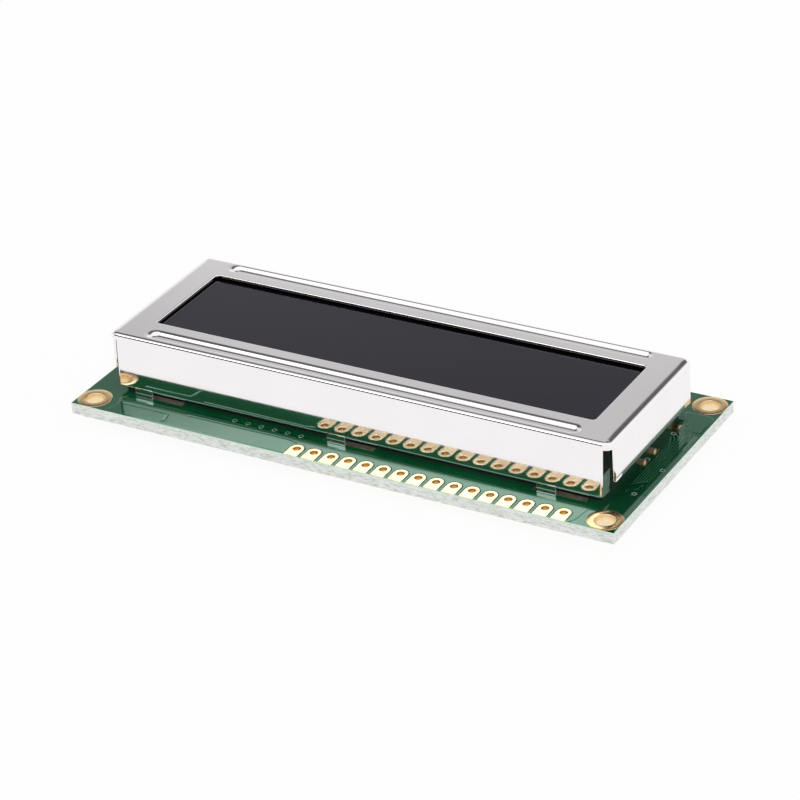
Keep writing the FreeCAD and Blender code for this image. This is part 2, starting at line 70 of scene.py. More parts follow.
# The light: levels of the room above the object and of the small lamp
ROOM_TOP = 0.53
LAMP = 1.6
DEGREES_IN_A_RADIAN = 57.29578
FLOOR_WHITE = 0.95

# The board: its top face, half its length and half its width
BOARD_TOP = 1.6
BOARD_X = 39.75
BOARD_Y = 17.8

# The bezel: its face, its sheet, its middle across the board, and half its length and width
FACE_TOP = 10.15
SHEET = 0.4
SHIFT = 0.12
HALF_X = 36.8
HALF_Y = 12.1
CORNER = 1.2
ROLL_FOOT = 9.22
SHORT_ROLL_RUN = 1.15
SHORT_ROLL_DROP = 0.9
LONG_ROLL = 0.5
LONG_FOOT = 2.45
LONG_FLARE = 0.22
FLARE_TOP = 9.65
SHORT_FOOT = 4.4
SHORT_FLARE = 0.12
WALL_END = 35.6
BEND_START = 35.25
BEND_RADIUS = 0.35

# The window: half its length and width, its middle, and the radius of its corners
WINDOW_X = 32.25
WINDOW_Y = 7.55
WINDOW_MIDDLE = -0.25
WINDOW_CORNER = 0.45

# The front film in it: half its length, and where its long edges lie
FILM_X = 32.08
FILM_LOW_Y = -7.28
FILM_HIGH_Y = 6.78

# The grooves: for each its middle and width, and how soft its edge is towards the window and the wall
GROOVE_X = -0.2
GROOVE_LENGTH = 62.75
GROOVE_END_SOFT = 0.8
GROOVES = ((10.31, 1.72, 0.45, 0.20), (-10.33, 1.66, 0.14, 0.20))

# The tabs
TAB_PLACES = (-27.9, 2.25, 31.7)
TAB_TOP = 2.75
TAB_HALF_WIDTH = 1.35
TAB_FLARE = 0.044

# The plated holes: pin holes from the first one on, and mounting holes
PIN_COUNT = 16
PIN_FIRST_X = -32.1
PIN_PITCH = 2.54
PIN_Y = 16.0
PIN_LAND_END = 16.9
PIN_LAND_HALF = 0.975
PIN_HOLE = 0.5
RING_X = 37.5
RING_Y = 15.5
RING_LAND = 2.35
RING_HOLE = 1.30
LAND_RISE = 0.05

# Small plated holes between the pin holes' copper and the bezel
VIA_PLACES = (17.17, 15.15, 13.15, 11.13, 9.16, 7.12)
VIA_Y = 13.05

# The rear face
CHIP_HALF_LENGTH = 1.0


# The camera

def set_camera():
    """The photo's view: far away and with a long lens, turned a little about its axis."""
    azimuth = math.radians(CAMERA_AZIMUTH)
    elevation = math.radians(CAMERA_ELEVATION)
    roll = math.radians(CAMERA_ROLL)
    target = Vector(CAMERA_TARGET) * MM
    back = Vector((math.sin(azimuth) * math.cos(elevation),
                   -math.cos(azimuth) * math.cos(elevation),
                   math.sin(elevation)))
    forward = -back
    right = forward.cross(Vector((0, 0, 1))).normalized()
    up = right.cross(forward)
    turned_right = right * math.cos(roll) + up * math.sin(roll)
    turned_up = up * math.cos(roll) - right * math.sin(roll)
    data = bpy.data.cameras.new("camera")
    data.lens = CAMERA_LENS
    data.sensor_width = 36.0
    data.clip_start = 0.01
    data.clip_end = 10.0
    item = bpy.data.objects.new("camera", data)
    matrix = Matrix((turned_right, turned_up, back)).transposed().to_4x4()
    matrix.translation = target + back * CAMERA_DISTANCE * MM
    item.matrix_world = matrix
    bpy.context.collection.objects.link(item)
    bpy.context.scene.camera = item


# Node helper

class Nodes:
    """Short calls for building a node tree."""

    def __init__(self, tree):
        self.tree = tree

    def new(self, kind, **settings):
        item = self.tree.nodes.new(kind)
        for name, value in settings.items():
            setattr(item, name, value)
        return item

    def link(self, value, socket):
        """Link a node's output, or set a plain value."""
        if isinstance(value, bpy.types.NodeSocket):
            self.tree.links.new(value, socket)
        else:
            socket.default_value = value

    def math(self, operation, first, second=0.0):
        item = self.new("ShaderNodeMath", operation=operation)
        self.link(first, item.inputs[0])
        self.link(second, item.inputs[1])
        return item.outputs[0]

    def multiply(self, first, *others):
        for other in others:
            first = self.math("MULTIPLY", first, other)
        return first

    def add(self, first, second):
        return self.math("ADD", first, second)

    def mix(self, factor, first, second, blend="MIX"):
        item = self.new("ShaderNodeMix", data_type="RGBA", blend_type=blend)
        self.link(factor, item.inputs["Factor"])
        self.link(first, item.inputs["A"])
        self.link(second, item.inputs["B"])
        return [out for out in item.outputs if out.type == "RGBA"][0]

    def blend(self, factor, first, second):
        item = self.new("ShaderNodeMix", data_type="FLOAT")
        self.link(factor, item.inputs["Factor"])
        self.link(first, item.inputs["A"])
        self.link(second, item.inputs["B"])
        return item.outputs[0]

    def smooth(self, value, low, high, to_low=0.0, to_high=1.0):
        item = self.new("ShaderNodeMapRange", interpolation_type="SMOOTHSTEP")
        self.link(value, item.inputs["Value"])
        item.inputs["From Min"].default_value = low
        item.inputs["From Max"].default_value = high
        item.inputs["To Min"].default_value = to_low
        item.inputs["To Max"].default_value = to_high
        return item.outputs["Result"]

    def place(self, scale=(1, 1, 1)):
        coordinates = self.new("ShaderNodeTexCoord")
        item = self.new("ShaderNodeMapping")
        self.tree.links.new(coordinates.outputs["Object"], item.inputs["Vector"])
        item.inputs["Scale"].default_value = scale
        return item.outputs["Vector"]

    def noise(self, vector, scale, detail=3.0, rough=0.5):
        item = self.new("ShaderNodeTexNoise")
        self.tree.links.new(vector, item.inputs["Vector"])
        item.inputs["Scale"].default_value = scale
        item.inputs["Detail"].default_value = detail
        item.inputs["Roughness"].default_value = rough
        return item.outputs["Fac"]

    def ramp(self, value, *stops):
        """A colour ramp; each stop is a place and a colour, or a place and a grey level."""
        item = self.new("ShaderNodeValToRGB")
        self.link(value, item.inputs["Fac"])
        points = item.color_ramp.elements
        while len(points) < len(stops):
            points.new(0.5)
        for point, (where, colour) in zip(points, stops):
            colour = colour if isinstance(colour, tuple) else (colour, colour, colour)
            point.position = where
            point.color = (*colour, 1.0)
        return item.outputs["Color"]

    def axes(self):
        coordinates = self.new("ShaderNodeTexCoord")
        item = self.new("ShaderNodeSeparateXYZ")
        self.tree.links.new(coordinates.outputs["Object"], item.inputs["Vector"])
        return item.outputs

    def normal(self):
        geometry = self.new("ShaderNodeNewGeometry")
        item = self.new("ShaderNodeSeparateXYZ")
        self.tree.links.new(geometry.outputs["True Normal"], item.inputs["Vector"])
        return item.outputs

    def bump(self, height, distance, strength=1.0, under=None):
        item = self.new("ShaderNodeBump")
        self.link(height, item.inputs["Height"])
        item.inputs["Distance"].default_value = distance
        item.inputs["Strength"].default_value = strength
        if under is not None:
            self.tree.links.new(under, item.inputs["Normal"])
        return item.outputs["Normal"]


def material(name):
    """A new material with its principled shader and a helper for its nodes."""
    item = bpy.data.materials.new(name)
    item.use_nodes = True
    tree = item.node_tree
    shader = [node for node in tree.nodes if node.type == "BSDF_PRINCIPLED"][0]
    return item, Nodes(tree), shader


# Light: a soft studio drawn in the world, with a pale floor

def set_world():
    """White to the camera; round the object a pale room with lamps above it, and a darker stretch behind."""
    world = bpy.data.worlds.new("studio")
    bpy.context.scene.world = world
    world.use_nodes = True
    tree = world.node_tree
    tree.nodes.clear()
    n = Nodes(tree)
    coordinates = n.new("ShaderNodeTexCoord")
    parts = n.new("ShaderNodeSeparateXYZ")
    tree.links.new(coordinates.outputs["Generated"], parts.inputs["Vector"])
    x, y, z = parts.outputs
    # degrees round from the side away from the pin holes, towards the end with the leads
    turn = n.math("ARCTAN2", n.multiply(x, -1.0), n.multiply(y, -1.0))
    turn = n.multiply(turn, DEGREES_IN_A_RADIAN)
    # the light in each quarter of the room, from the horizon up
    behind = n.multiply(n.smooth(turn, -120.0, -88.0), n.smooth(turn, 14.0, 30.0, 1.0, 0.0))
    right = n.multiply(n.smooth(turn, 14.0, 30.0), n.smooth(turn, 95.0, 130.0, 1.0, 0.0))
    back_light = n.ramp(z, (0.0, 0.50), (0.375, 0.50), (0.449, 0.318), (0.488, 0.296), (0.512, 0.280),
                        (0.545, 0.18), (0.60, 0.06), (0.845, 0.06), (0.90, ROOM_TOP), (1.0, ROOM_TOP))
    right_light = n.ramp(z, (0.0, 0.50), (1.0, ROOM_TOP))
    front_light = n.ramp(z, (0.0, 0.50), (0.30, 0.50), (0.40, 0.45), (0.60, 0.45), (0.75, ROOM_TOP),
                         (1.0, ROOM_TOP))
    # a dark low stretch on the left of the camera, with a small lamp above it
    shade = n.ramp(z, (0.0, 0.03), (0.515, 0.03), (0.540, 0.55), (0.8, ROOM_TOP), (1.0, ROOM_TOP))
    shaded = n.multiply(n.smooth(turn, -172.0, -164.0), n.smooth(turn, -134.0, -126.0, 1.0, 0.0))
    front_light = n.mix(shaded, front_light, shade)
    lamp = n.multiply(n.smooth(turn, -168.0, -158.0), n.smooth(turn, -140.0, -128.0, 1.0, 0.0),
                      n.smooth(z, 0.520, 0.540), n.smooth(z, 0.720, 0.800, 1.0, 0.0))
    front_light = n.mix(lamp, front_light, (LAMP, LAMP, LAMP, 1.0))
    # a fall-off to the left behind the object
    fall = n.smooth(turn, -36.6, -34.6, 0.88, 1.0)
    back_light = n.mix(1.0, back_light, n.ramp(fall, (0.0, 0.0), (1.0, 1.0)), "MULTIPLY")
    colour = n.mix(behind, front_light, back_light)
    colour = n.mix(right, colour, right_light)
    below = n.smooth(z, -0.02, 0.0, 1.0, 0.0)
    colour = n.mix(below, colour, (0.5, 0.5, 0.5, 1.0))
    light = n.new("ShaderNodeBackground")
    tree.links.new(colour, light.inputs["Color"])
    light.inputs["Strength"].default_value = 2.0
    plain = n.new("ShaderNodeBackground")
    plain.inputs["Color"].default_value = (1, 1, 1, 1)
    plain.inputs["Strength"].default_value = 1.0
    path = n.new("ShaderNodeLightPath")
    choose = n.new("ShaderNodeMixShader")
    tree.links.new(path.outputs["Is Camera Ray"], choose.inputs["Fac"])
    tree.links.new(light.outputs["Background"], choose.inputs[1])
    tree.links.new(plain.outputs["Background"], choose.inputs[2])
    output = n.new("ShaderNodeOutputWorld")
    tree.links.new(choose.outputs["Shader"], output.inputs["Surface"])


def floor_material():
    item, n, shader = material("floor_paper")
    tree = item.node_tree
    tree.nodes.remove(shader)
    grain = n.noise(n.place(), 400.0, 4.0)
    tint = n.ramp(grain, (0.35, 0.88), (0.65, 0.92))
    paper = n.new("ShaderNodeBsdfDiffuse")
    tree.links.new(tint, paper.inputs["Color"])
    glow = n.new("ShaderNodeEmission")
    glow.inputs["Color"].default_value = (1, 1, 1, 1)
    glow.inputs["Strength"].default_value = 1.0
    path = n.new("ShaderNodeLightPath")
    seen = n.math("MAXIMUM", path.outputs["Is Camera Ray"], path.outputs["Is Glossy Ray"])
    seen = n.math("MAXIMUM", seen, path.outputs["Is Transmission Ray"])
    choose = n.new("ShaderNodeMixShader")
    tree.links.new(n.multiply(seen, FLOOR_WHITE), choose.inputs["Fac"])
    tree.links.new(paper.outputs["BSDF"], choose.inputs[1])
    tree.links.new(glow.outputs["Emission"], choose.inputs[2])
    output = [node for node in tree.nodes if node.type == "OUTPUT_MATERIAL"][0]
    tree.links.new(choose.outputs["Shader"], output.inputs["Surface"])
    return item


def set_floor():
    mesh = bpy.data.meshes.new("floor")
    low = CAD_BOX[0][2] - 0.00002
    mesh.from_pydata([(-2, -2, low), (2, -2, low), (2, 2, low), (-2, 2, low)], [], [(0, 1, 2, 3)])
    item = bpy.data.objects.new("floor", mesh)
    bpy.context.collection.objects.link(item)
    mesh.materials.append(floor_material())


# Materials

def bezel_metal():
    """Bright plated sheet: nearly a mirror, with faint waves, a fine grain and dull patches."""
    item, n, shader = material("bright_plating")
    tree = item.node_tree
    stains = n.noise(n.place(), 160.0, 5.0, 0.6)
    fine = n.noise(n.place(scale=(1, 3, 1)), 2600.0, 2.0)
    tint = n.ramp(stains, (0.3, (0.928, 0.898, 0.906)), (0.7, (0.900, 0.870, 0.878)))
    tree.links.new(tint, shader.inputs["Base Color"])
    shader.inputs["Metallic"].default_value = 1.0
    rough = n.add(n.multiply(stains, 0.05), 0.035)
    rough = n.add(rough, n.multiply(fine, 0.02))
    tree.links.new(rough, shader.inputs["Roughness"])
    waves = n.noise(n.place(), 45.0, 1.0)
    normal = n.bump(waves, 0.00006, 0.35)
    normal = n.bump(fine, 0.000001, 0.25, normal)
    tree.links.new(normal, shader.inputs["Normal"])
    return item


def gold_metal(name, low, high):
    """Gold-coloured plating over copper, a little uneven."""
    item, n, shader = material(name)
    tree = item.node_tree
    blotch = n.noise(n.place(), 900.0, 4.0)
    tint = n.ramp(blotch, (0.3, low), (0.7, high))
    tree.links.new(tint, shader.inputs["Base Color"])
    shader.inputs["Metallic"].default_value = 1.0
    tree.links.new(n.add(n.multiply(blotch, 0.12), 0.19), shader.inputs["Roughness"])
    tree.links.new(n.bump(blotch, 0.00001, 0.12), shader.inputs["Normal"])
    return item


def mask_material(name, low, high, copper_low=None, copper_high=None):
    """Glossy green lacquer, brighter over copper, which ends before the end with the leads.

    The board's outer sides show cut glass cloth; its slots and holes show the cut board in dark brown, its own
    tan darkened as painted shade for the recess.
    """
    item, n, shader = material(name)
    tree = item.node_tree
    cloud = n.noise(n.place(), 130.0, 4.0)
    weave = n.noise(n.place(), 1800.0, 2.0)
    green = n.mix(n.smooth(cloud, 0.35, 0.65), (*low, 1.0), (*high, 1.0))
    green = n.mix(n.smooth(weave, 0.3, 0.8, 0.0, 0.3), green, (*high, 1.0))
    side = n.smooth(n.math("ABSOLUTE", n.normal()[2]), 0.5, 0.7, 1.0, 0.0)
    x, y, z = n.axes()
    if copper_low:
        bright = n.mix(n.smooth(cloud, 0.35, 0.65), (*copper_low, 1.0), (*copper_high, 1.0))
        green = n.mix(n.smooth(x, -36.5 * MM, -34.0 * MM), green, bright)
    outer = n.math("MAXIMUM", n.math("GREATER_THAN", n.math("ABSOLUTE", x), (BOARD_X - 0.1) * MM),
                   n.math("GREATER_THAN", n.math("ABSOLUTE", y), (BOARD_Y - 0.1) * MM))
    fibre = n.noise(n.place(scale=(0.7, 0.7, 2.6)), 1500.0, 7.0, 0.8)
    specks = n.noise(n.place(scale=(0.35, 0.35, 2.2)), 2600.0, 4.0, 0.7)
    cloth = n.ramp(fibre, (0.36, (0.62, 0.62, 0.57)), (0.47, (0.86, 0.86, 0.83)), (0.58, (0.97, 0.97, 0.96)))
    cloth = n.mix(n.smooth(specks, 0.52, 0.64, 0.0, 0.55), cloth, (0.40, 0.39, 0.35, 1.0))
    edge_line = n.smooth(z, (BOARD_TOP - 0.30) * MM, (BOARD_TOP - 0.14) * MM)
    cloth = n.mix(n.multiply(edge_line, 0.8), cloth, (0.70, 0.92, 0.73, 1.0))
    # painted shade: cut faces other than the outer sides, in slots and holes, get a dark brown, the board's
    # tan darkened for the shade in them
    resin = n.ramp(fibre, (0.35, (0.10, 0.068, 0.052)), (0.65, (0.33, 0.24, 0.19)))
    cut = n.mix(outer, resin, cloth)
    tree.links.new(n.mix(side, green, cut), shader.inputs["Base Color"])
    rough = n.add(n.multiply(cloud, 0.05), 0.05)
    tree.links.new(n.blend(side, rough, 0.65), shader.inputs["Roughness"])
    normal = n.bump(cloud, 0.00004, 0.15)
    normal = n.bump(n.multiply(fibre, side), 0.0001, 0.6, normal)
    tree.links.new(normal, shader.inputs["Normal"])
    shader.inputs["IOR"].default_value = 1.78
    shader.inputs["Specular Tint"].default_value = (0.50, 1.0, 0.78, 1.0)
    return item


def film_material(name, low, high, rough):
    """A dark film with a satin face and faint clouds in it."""
    item, n, shader = material(name)
    tree = item.node_tree
    cloud = n.noise(n.place(), 60.0, 3.0)
    grain = n.noise(n.place(), 5000.0, 2.0)
    tint = n.mix(n.smooth(cloud, 0.3, 0.7), (*low, 1.0), (*high, 1.0))
    tree.links.new(tint, shader.inputs["Base Color"])
    tree.links.new(n.add(n.multiply(grain, 0.05), rough), shader.inputs["Roughness"])
    tree.links.new(n.bump(grain, 0.000001, 0.3), shader.inputs["Normal"])
    shader.inputs["IOR"].default_value = 1.355
    return item


def plastic_material(name, low, high, rough, grain_scale=2500.0):
    """Moulded plastic, resin, ceramic or rubber with a fine texture."""
    item, n, shader = material(name)
    tree = item.node_tree
    cloud = n.noise(n.place(), 250.0, 4.0)
    grain = n.noise(n.place(), grain_scale, 3.0)
    tree.links.new(n.mix(n.smooth(cloud, 0.3, 0.7), (*low, 1.0), (*high, 1.0)), shader.inputs["Base Color"])
    tree.links.new(n.add(n.multiply(grain, 0.15), rough), shader.inputs["Roughness"])
    tree.links.new(n.bump(grain, 0.000004, 0.5), shader.inputs["Normal"])
    shader.inputs["IOR"].default_value = 1.46
    return item


def tin_metal():
    """Soldered tin: soft grey metal with a rippled face."""
    item, n, shader = material("solder_tin")
    tree = item.node_tree
    ripple = n.noise(n.place(), 1500.0, 3.0)
    tint = n.ramp(ripple, (0.3, (0.68, 0.62, 0.48)), (0.7, (0.85, 0.80, 0.66)))
    tree.links.new(tint, shader.inputs["Base Color"])
    shader.inputs["Metallic"].default_value = 1.0
    tree.links.new(n.add(n.multiply(ripple, 0.2), 0.38), shader.inputs["Roughness"])
    tree.links.new(n.bump(ripple, 0.00002, 0.5), shader.inputs["Normal"])
    return item


# Mesh helpers

def finish_mesh(name, bm, *materials):
    """Make an object of a mesh, shaded smooth, with its materials in order."""
    mesh = bpy.data.meshes.new(name)
    bm.to_mesh(mesh)
    bm.free()
    for item in materials:
        mesh.materials.append(item)
    for face in mesh.polygons:
        face.use_smooth = True
    item = bpy.data.objects.new(name, mesh)
    bpy.context.collection.objects.link(item)
    return item


def crisp_edges(item, width, angle):
    """Round the sharp edges a little."""
    sharp = item.modifiers.new("edges", "BEVEL")
    sharp.width = width * MM
    sharp.segments = 2
    sharp.limit_method = "ANGLE"
    sharp.angle_limit = math.radians(angle)
    flatten_shading(item)


def flatten_shading(item):
    """Keep flat faces flat in the light beside rounded edges."""
    flat = item.modifiers.new("flat_faces", "WEIGHTED_NORMAL")
    flat.weight = 100


def carried(item, replaced=None):
    """Let a piece move with the object and stand for a CAD node."""
    if replaced:
        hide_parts(replaced)
    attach(item, "root")


def arc(centre_x, centre_y, radius, start, end, count):
    """Points along an arc, in degrees, both ends included."""
    points = []
    for step in range(count + 1):
        angle = math.radians(start + (end - start) * step / count)
        points.append((centre_x + radius * math.cos(angle), centre_y + radius * math.sin(angle)))
    return points


def rounded_outline(low_x, low_y, high_x, high_y, radius, count=6):
    """A rectangle with round corners, anticlockwise."""
    return (arc(high_x - radius, low_y + radius, radius, -90, 0, count)
            + arc(high_x - radius, high_y - radius, radius, 0, 90, count)
            + arc(low_x + radius, high_y - radius, radius, 90, 180, count)
            + arc(low_x + radius, low_y + radius, radius, 180, 270, count))


def slot_outline(centre_x, centre_y, length, width, count):
    """A long outline with half-round ends, anticlockwise."""
    reach = (length - width) / 2
    return (arc(centre_x + reach, centre_y, width / 2, -90, 90, count)
            + arc(centre_x - reach, centre_y, width / 2, 90, 270, count))


def ring_of(bm, points, height):
    """New vertices at one height."""
    return [bm.verts.new((x * MM, y * MM, height * MM)) for x, y in points]


def join_rings(bm, rings, closed=True, material_index=0):
    """Quads between each ring and the next; all have the same number of points."""
    for first, second in zip(rings, rings[1:]):
        count = len(first)
        for step in range(count if closed else count - 1):
            following = (step + 1) % count
            face = bm.faces.new((first[step], first[following], second[following], second[step]))
            face.material_index = material_index


def fill_between(bm, rings):
    """Fill a flat face that is bounded by an outer ring and has holes."""
    edges = []
    for ring in rings:
        for step, vertex in enumerate(ring):
            following = ring[(step + 1) % len(ring)]
            edge = bm.edges.get((vertex, following)) or bm.edges.new((vertex, following))
            edges.append(edge)
    result = bmesh.ops.triangle_fill(bm, use_beauty=True, use_dissolve=False, edges=edges)
    for face in result["geom"]:
        if isinstance(face, bmesh.types.BMFace):
            face.normal_update()


# The bezel

def rim_stations():
    """Places round the rim, anticlockwise: point, outward normal, and the roll's run and drop there."""
    stations = []
    side_y = [-10.9 + 21.8 * step / 12 for step in range(1, 12)]
    side_x = [-BEND_START] + [-34.5 + 69.0 * step / 30 for step in range(31)] + [BEND_START]
    for y in side_y:
        stations.append((HALF_X, SHIFT + y, 1.0, 0.0, 0.0))
    for quarter, (cx, cy) in enumerate(((1, 1), (-1, 1), (-1, -1), (1, -1))):
        middle_x = cx * (HALF_X - CORNER)
        middle_y = SHIFT + cy * (HALF_Y - CORNER)
        count = 10
        for step in range(count + 1):
            share = step / count
            angle = math.radians(90 * quarter + 90 * share)
            # from a short side the roll tightens towards a long side, and back again
            tight = share if quarter % 2 == 0 else 1 - share
            tight = tight * tight * (3 - 2 * tight)
            stations.append((middle_x + CORNER * math.cos(angle), middle_y + CORNER * math.sin(angle),
                             math.cos(angle), math.sin(angle), tight))
        if quarter == 0:
            stations += [(x, SHIFT + HALF_Y, 0.0, 1.0, 1.0) for x in reversed(side_x)]
        elif quarter == 1:
            stations += [(-HALF_X, SHIFT + y, -1.0, 0.0, 0.0) for y in reversed(side_y)]
        elif quarter == 2:
            stations += [(x, SHIFT - HALF_Y, 0.0, -1.0, 1.0) for x in side_x]
    return stations


def rim_ring(bm, stations, angle, extra=0.0):
    """One ring of the rolled rim, at an angle from the wall (0) up to the face (90)."""
    ring = []
    for x, y, nx, ny, tight in stations:
        run = SHORT_ROLL_RUN + (LONG_ROLL - SHORT_ROLL_RUN) * tight
        drop = SHORT_ROLL_DROP + (LONG_ROLL - SHORT_ROLL_DROP) * tight
        inward = run * (1 - math.cos(angle)) + extra
        height = FACE_TOP - drop * (1 - math.sin(angle))
        ring.append(bm.verts.new(((x - nx * inward) * MM, (y - ny * inward) * MM, height * MM)))
    return ring


def groove(bm, centre_y, width, inner_soft, outer_soft):
    """A pressed groove: returns its outer ring, and builds the sides and floor."""
    # how far in from the edge, and how deep; what lies outside the edge is stretched by the softness
    profile = ((-1.15, 0.0), (-1.0, 0.0), (-0.72, 0.006), (-0.46, 0.020), (-0.22, 0.046), (0.0, 0.085),
               (0.05, 0.125), (0.10, 0.185), (0.16, 0.260), (0.22, 0.325), (0.29, 0.380), (0.37, 0.420),
               (0.46, 0.442), (0.56, 0.450), (0.64, 0.450))
    away = math.copysign(1.0, centre_y)
    rings = []
    for inward, fall in profile:
        points = []
        for x, y in slot_outline(GROOVE_X, centre_y, GROOVE_LENGTH, width, 14):
            nx, ny = slot_normal(x - GROOVE_X, y - centre_y, GROOVE_LENGTH, width)
            reach = inward
            if inward < 0:
                share = 0.5 + 0.5 * ny * away
                soft = inner_soft + (outer_soft - inner_soft) * share * share * (3 - 2 * share)
                reach = inward * (soft + (GROOVE_END_SOFT - soft) * max(0.0, nx) ** 2)
            points.append((x - nx * reach, y - ny * reach))
        rings.append(ring_of(bm, points, FACE_TOP - fall))
    join_rings(bm, rings)
    fill_between(bm, [rings[-1]])
    return rings[0]


def slot_normal(x, y, length, width):
    """The outward normal of a long outline with half-round ends, at a point on it."""
    reach = (length - width) / 2
    middle = max(-reach, min(reach, x))
    distance = math.hypot(x - middle, y)
    return (x - middle) / distance, y / distance


def lean(height):
    """How far a long wall stands out at a height, from its flare."""
    share = (FLARE_TOP - height) / (FLARE_TOP - LONG_FOOT)
    return LONG_FLARE * max(0.0, share)


def long_wall(bm, stations, foot, side):
    """A long wall with its two bends and flanges; its lower edge turns in a little."""
    columns = [(x, foot[index]) for index, (x, y, nx, ny, tight) in enumerate(stations)
               if ny == side and abs(x) < BEND_START + 0.05]
    columns.sort(key=lambda item: item[0])
    rows = []
    levels = [(height, 0.0) for height in (ROLL_FOOT, 8.4, 7.0, 5.6, 4.2, 3.2, 2.72)]
    levels += [(2.60, 0.012), (2.52, 0.035), (2.47, 0.075), (LONG_FOOT, 0.13)]
    for height, turned in levels:
        out = SHIFT + side * (HALF_Y + lean(height) - turned)
        tail = []
        for angle in range(15, 91, 15):
            tail.append((BEND_START + BEND_RADIUS * math.sin(math.radians(angle)),
                         out - side * BEND_RADIUS * (1 - math.cos(math.radians(angle)))))
        tail += [(WALL_END, out - side * reach) for reach in (0.7, 1.2, 1.7, 2.2)]
        row = [bm.verts.new((-x * MM, y * MM, height * MM)) for x, y in reversed(tail)]
        if rows:
            row += [bm.verts.new((x * MM, out * MM, height * MM)) for x, _ in columns]
        else:
            row += [vertex for _, vertex in columns]
        row += [bm.verts.new((x * MM, y * MM, height * MM)) for x, y in tail]
        rows.append(row)
    join_rings(bm, rows, closed=False)


def short_wall(bm, stations, foot, side):
    """A short wall, which flares a little and ends above the board."""
    columns = [(y, foot[index]) for index, (x, y, nx, ny, tight) in enumerate(stations) if nx == side]
    columns.sort(key=lambda item: item[0])
    rows = [[vertex for _, vertex in columns]]
    for height in (8.2, 7.0, 5.8, 4.9, 4.52, SHORT_FOOT):
        out = HALF_X + SHORT_FLARE * (ROLL_FOOT - height) / (ROLL_FOOT - SHORT_FOOT)
        rows.append([bm.verts.new((side * out * MM, y * MM, height * MM)) for y, _ in columns])
    join_rings(bm, rows, closed=False)


def bezel_piece(metal):
    """The folded sheet: a rolled rim round a face with a window and two grooves, and four walls."""
    bm = bmesh.new()
    stations = rim_stations()
    foot = ring_of(bm, [(x, y) for x, y, *_ in stations], ROLL_FOOT)
    rings = [foot]
    for step in range(13):
        rings.append(rim_ring(bm, stations, math.radians(90 * step / 12)))
    rings.append(rim_ring(bm, stations, math.radians(90), 0.07))
    join_rings(bm, rings)
    # a fine blanked edge leads into the window's cut face
    window = []
    for reach, fall in ((0.23, 0.0), (0.14, 0.0), (0.108, 0.004), (0.082, 0.016), (0.057, 0.036),
                        (0.035, 0.066), (0.017, 0.102), (0.005, 0.134), (0.0, 0.165), (0.0, SHEET)):
        outline = rounded_outline(-WINDOW_X - reach, WINDOW_MIDDLE - WINDOW_Y - reach,
                                  WINDOW_X + reach, WINDOW_MIDDLE + WINDOW_Y + reach, WINDOW_CORNER + reach)
        window.append(ring_of(bm, outline, FACE_TOP - fall))
    join_rings(bm, window)
    grooves = [groove(bm, *sizes) for sizes in GROOVES]
    fill_between(bm, [rings[-1], window[0]] + grooves)
    for side in (-1, 1):
        long_wall(bm, stations, foot, side)
    for side in (-1, 1):
        short_wall(bm, stations, foot, side)
    bmesh.ops.remove_doubles(bm, verts=bm.verts, dist=1e-7)
    bmesh.ops.recalc_face_normals(bm, faces=bm.faces)
    top = max(bm.faces, key=lambda face: face.calc_area())
    if top.normal.z < 0:
        bmesh.ops.reverse_faces(bm, faces=bm.faces)
    item = finish_mesh("bezel_shell", bm, metal)
    thick = item.modifiers.new("thickness", "SOLIDIFY")
    thick.thickness = SHEET * MM
    thick.offset = -1.0
    thick.use_even_offset = True
    crisp_edges(item, 0.03, 60)
    carried(item, "bezel")


def tab_piece(name, centre_x, side, metal):
    """A tab: it drops through its slot and is twisted below the board."""
    bm = bmesh.new()
    rings = []
    levels = [(TAB_TOP, 0), (2.4, 0), (BOARD_TOP, 0), (0.6, 0), (-0.15, 0), (-0.35, 3), (-0.6, 9), (-0.9, 18),
              (-1.2, 28), (-1.45, 34), (-1.6, 35)]
    plane = HALF_Y + LONG_FLARE - SHEET / 2
    for height, turn in levels:
        angle = math.radians(turn)
        out = plane + TAB_FLARE * (TAB_TOP - max(BOARD_TOP, height))
        ring = []
        for sx, sy in ((-1, -1), (1, -1), (1, 1), (-1, 1)):
            x = sx * TAB_HALF_WIDTH
            y = sy * SHEET / 2
            ring.append((centre_x + x * math.cos(angle) - y * math.sin(angle),
                         SHIFT + side * out + x * math.sin(angle) + y * math.cos(angle)))
        rings.append(ring_of(bm, ring, height))
    join_rings(bm, rings)
    bm.faces.new(rings[0])
    bm.faces.new(list(reversed(rings[-1])))
    bmesh.ops.recalc_face_normals(bm, faces=bm.faces)
    item = finish_mesh(name, bm, metal)
    crisp_edges(item, 0.05, 50)
    carried(item, "bezel")


def build_bezel(metal):
    bezel_piece(metal)
    for side, edge in ((-1, "rear"), (1, "header")):
        for number, centre_x in enumerate(TAB_PLACES, start=1):
            tab_piece("bezel_tab_%s_%d" % (edge, number), centre_x, side, metal)


# The front film

def screen_piece(film):
    """The front film: a thin sheet with fine rounded edges, that fills the window but for a narrow margin."""
    bm = bmesh.new()
    rings = []
    for inward, height in ((0.0, 9.3), (0.0, 9.46), (0.015, 9.49), (0.04, 9.5), (0.12, 9.5)):
        outline = rounded_outline(-FILM_X + inward, FILM_LOW_Y + inward, FILM_X - inward, FILM_HIGH_Y - inward,
                                  0.3, 3)
        rings.append(ring_of(bm, outline, height))
    join_rings(bm, rings)
    fill_between(bm, [rings[0]])
    fill_between(bm, [rings[-1]])
    bmesh.ops.recalc_face_normals(bm, faces=bm.faces)
    carried(finish_mesh("front_film", bm, film), "front_polarizer")


# The plated holes

def pin_x(number):
    return PIN_FIRST_X + PIN_PITCH * (number - 1)


